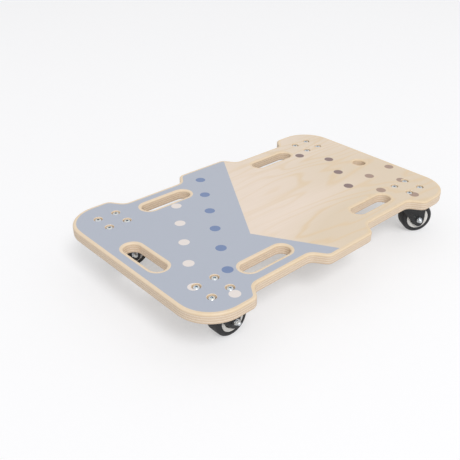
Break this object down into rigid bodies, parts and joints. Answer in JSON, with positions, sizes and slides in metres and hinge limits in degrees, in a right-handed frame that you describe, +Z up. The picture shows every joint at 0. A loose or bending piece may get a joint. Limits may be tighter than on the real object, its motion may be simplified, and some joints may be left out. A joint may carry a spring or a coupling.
{
  "type": "scooter board",
  "caption": "Waisted plywood scooter board with hand slots and a rope hole, rolling on swivel casters bolted under its corners.",
  "frame": {"origin": "on the floor, under the middle of the deck", "axes": "+X along the deck towards the end with the rope hole, +Y to the deck's left side, +Z up"},
  "size_m": [0.61, 0.38, 0.094],
  "materials": {
    "birch_plywood": "clear satin lacquer, with one end painted grey-blue",
    "black_painted_steel": "semi-gloss black",
    "zinc_plated_steel": "bright zinc",
    "white_nylon": "moulded satin",
    "black_rubber": "matt black"
  },
  "bodies": {
    "board": {"deck": "birch_plywood", "caster_plate_slot_left": "zinc_plated_steel", "caster_plate_slot_right": "zinc_plated_steel", "caster_plate_rope_left": "zinc_plated_steel", "caster_plate_rope_right": "zinc_plated_steel", "swivel_bearing_slot_left": "zinc_plated_steel", "swivel_bearing_slot_right": "zinc_plated_steel", "swivel_bearing_rope_left": "zinc_plated_steel", "swivel_bearing_rope_right": "zinc_plated_steel", "deck_bolt_slot_left_1": "zinc_plated_steel", "deck_bolt_slot_left_2": "zinc_plated_steel", "deck_bolt_slot_left_3": "zinc_plated_steel", "deck_bolt_slot_left_4": "zinc_plated_steel", "deck_bolt_slot_right_1": "zinc_plated_steel", "deck_bolt_slot_right_2": "zinc_plated_steel", "deck_bolt_slot_right_3": "zinc_plated_steel", "deck_bolt_slot_right_4": "zinc_plated_steel", "deck_bolt_rope_left_1": "zinc_plated_steel", "deck_bolt_rope_left_2": "zinc_plated_steel", "deck_bolt_rope_left_3": "zinc_plated_steel", "deck_bolt_rope_left_4": "zinc_plated_steel", "deck_bolt_rope_right_1": "zinc_plated_steel", "deck_bolt_rope_right_2": "zinc_plated_steel", "deck_bolt_rope_right_3": "zinc_plated_steel", "deck_bolt_rope_right_4": "zinc_plated_steel", "deck_nut_slot_left_1": "zinc_plated_steel", "deck_nut_slot_left_2": "zinc_plated_steel", "deck_nut_slot_left_3": "zinc_plated_steel", "deck_nut_slot_left_4": "zinc_plated_steel", "deck_nut_slot_right_1": "zinc_plated_steel", "deck_nut_slot_right_2": "zinc_plated_steel", "deck_nut_slot_right_3": "zinc_plated_steel", "deck_nut_slot_right_4": "zinc_plated_steel", "deck_nut_rope_left_1": "zinc_plated_steel", "deck_nut_rope_left_2": "zinc_plated_steel", "deck_nut_rope_left_3": "zinc_plated_steel", "deck_nut_rope_left_4": "zinc_plated_steel", "deck_nut_rope_right_1": "zinc_plated_steel", "deck_nut_rope_right_2": "zinc_plated_steel", "deck_nut_rope_right_3": "zinc_plated_steel", "deck_nut_rope_right_4": "zinc_plated_steel"},
    "caster_slot_left": {"fork_slot_left": "black_painted_steel", "axle_bolt_slot_left": "zinc_plated_steel"},
    "caster_slot_right": {"fork_slot_right": "black_painted_steel", "axle_bolt_slot_right": "zinc_plated_steel"},
    "caster_rope_left": {"fork_rope_left": "black_painted_steel", "axle_bolt_rope_left": "zinc_plated_steel"},
    "caster_rope_right": {"fork_rope_right": "black_painted_steel", "axle_bolt_rope_right": "zinc_plated_steel"},
    "wheel_slot_left": {"wheel_hub_slot_left": "white_nylon", "tyre_slot_left": "black_rubber"},
    "wheel_slot_right": {"wheel_hub_slot_right": "white_nylon", "tyre_slot_right": "black_rubber"},
    "wheel_rope_left": {"wheel_hub_rope_left": "white_nylon", "tyre_rope_left": "black_rubber"},
    "wheel_rope_right": {"wheel_hub_rope_right": "white_nylon", "tyre_rope_right": "black_rubber"}
  },
  "joints": [
    {"name": "swivel_slot_left", "type": "hinge", "parent": "board", "child": "caster_slot_left", "pos_m": [-0.24, 0.129, 0.066], "axis": [0, 0, 1], "continuous": true},
    {"name": "swivel_slot_right", "type": "hinge", "parent": "board", "child": "caster_slot_right", "pos_m": [-0.24, -0.129, 0.066], "axis": [0, 0, 1], "continuous": true},
    {"name": "swivel_rope_left", "type": "hinge", "parent": "board", "child": "caster_rope_left", "pos_m": [0.24, 0.129, 0.066], "axis": [0, 0, 1], "continuous": true},
    {"name": "swivel_rope_right", "type": "hinge", "parent": "board", "child": "caster_rope_right", "pos_m": [0.24, -0.129, 0.066], "axis": [0, 0, 1], "continuous": true},
    {"name": "spin_slot_left", "type": "hinge", "parent": "caster_slot_left", "child": "wheel_slot_left", "pos_m": [-0.21569, 0.12316, 0.03], "axis": [0.2334, 0.9724, 0], "continuous": true},
    {"name": "spin_slot_right", "type": "hinge", "parent": "caster_slot_right", "child": "wheel_slot_right", "pos_m": [-0.215, -0.129, 0.03], "axis": [0, 1, 0], "continuous": true},
    {"name": "spin_rope_left", "type": "hinge", "parent": "caster_rope_left", "child": "wheel_rope_left", "pos_m": [0.26318, 0.11963, 0.03], "axis": [0.3746, 0.9272, 0], "continuous": true},
    {"name": "spin_rope_right", "type": "hinge", "parent": "caster_rope_right", "child": "wheel_rope_right", "pos_m": [0.26132, -0.14206, 0.03], "axis": [0.5225, 0.8526, 0], "continuous": true}
  ]
}
